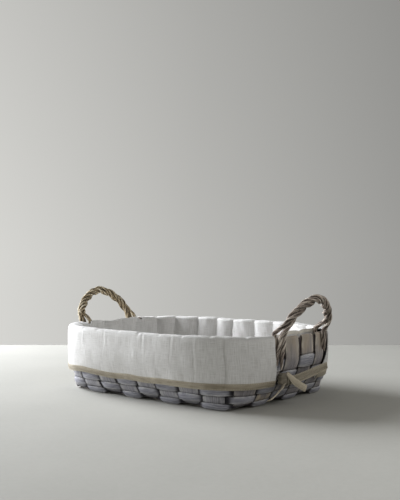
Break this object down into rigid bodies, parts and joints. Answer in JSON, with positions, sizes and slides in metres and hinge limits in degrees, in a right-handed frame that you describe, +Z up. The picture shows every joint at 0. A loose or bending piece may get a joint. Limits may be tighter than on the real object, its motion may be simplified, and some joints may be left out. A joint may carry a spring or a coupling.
{
  "type": "bread basket",
  "caption": "Low rounded-rectangle basket woven from flat splints, with a twisted rod handle at each end and a linen liner whose turned-down cuffs are tied on with ribbon.",
  "frame": {"origin": "centre of the underside, on the surface that the basket stands on", "axes": "+X along the basket's length towards one handle, +Y across its width, +Z up"},
  "size_m": [0.3762, 0.2486, 0.1294],
  "materials": {
    "crosswise_splint": "stained flat wood splint, matte",
    "lengthwise_splint": "stained flat wood splint, matte",
    "weaver": "stained flat wood splint, matte",
    "rim_band": "dark stained wood band, matte",
    "handle_rod": "weathered natural rod, matte",
    "linen": "washed plain-weave linen",
    "linen_hem": "folded linen hem",
    "ribbon": "twill tape with stitched edges"
  },
  "bodies": {
    "root": {"cross_splint_1": "crosswise_splint", "cross_splint_2": "crosswise_splint", "cross_splint_3": "crosswise_splint", "cross_splint_4": "crosswise_splint", "cross_splint_5": "crosswise_splint", "cross_splint_6": "crosswise_splint", "cross_splint_7": "crosswise_splint", "cross_splint_8": "crosswise_splint", "long_splint_1": "lengthwise_splint", "long_splint_2": "lengthwise_splint", "long_splint_3": "lengthwise_splint", "long_splint_4": "lengthwise_splint", "long_splint_5": "lengthwise_splint", "long_splint_6": "lengthwise_splint", "weaver_1": "weaver", "weaver_2": "weaver", "weaver_3": "weaver", "weaver_4": "weaver", "weaver_5": "weaver", "inner_rim_band": "rim_band", "right_handle_rod_1": "handle_rod", "right_handle_rod_2": "handle_rod", "right_handle_rod_3": "handle_rod", "left_handle_rod_1": "handle_rod", "left_handle_rod_2": "handle_rod", "left_handle_rod_3": "handle_rod", "liner_floor": "linen", "liner_wall": "linen", "liner_cuff_front": "linen", "liner_cuff_back": "linen", "liner_end_hem_right": "linen_hem", "liner_end_hem_left": "linen_hem", "hem_ribbon_front": "ribbon", "hem_ribbon_back": "ribbon", "right_bow_knot": "ribbon", "right_bow_band": "ribbon", "right_bow_loop": "ribbon", "right_bow_short_tail": "ribbon", "right_bow_long_tail": "ribbon", "left_bow_knot": "ribbon", "left_bow_band": "ribbon", "left_bow_loop": "ribbon", "left_bow_short_tail": "ribbon", "left_bow_long_tail": "ribbon"}
  },
  "joints": []
}
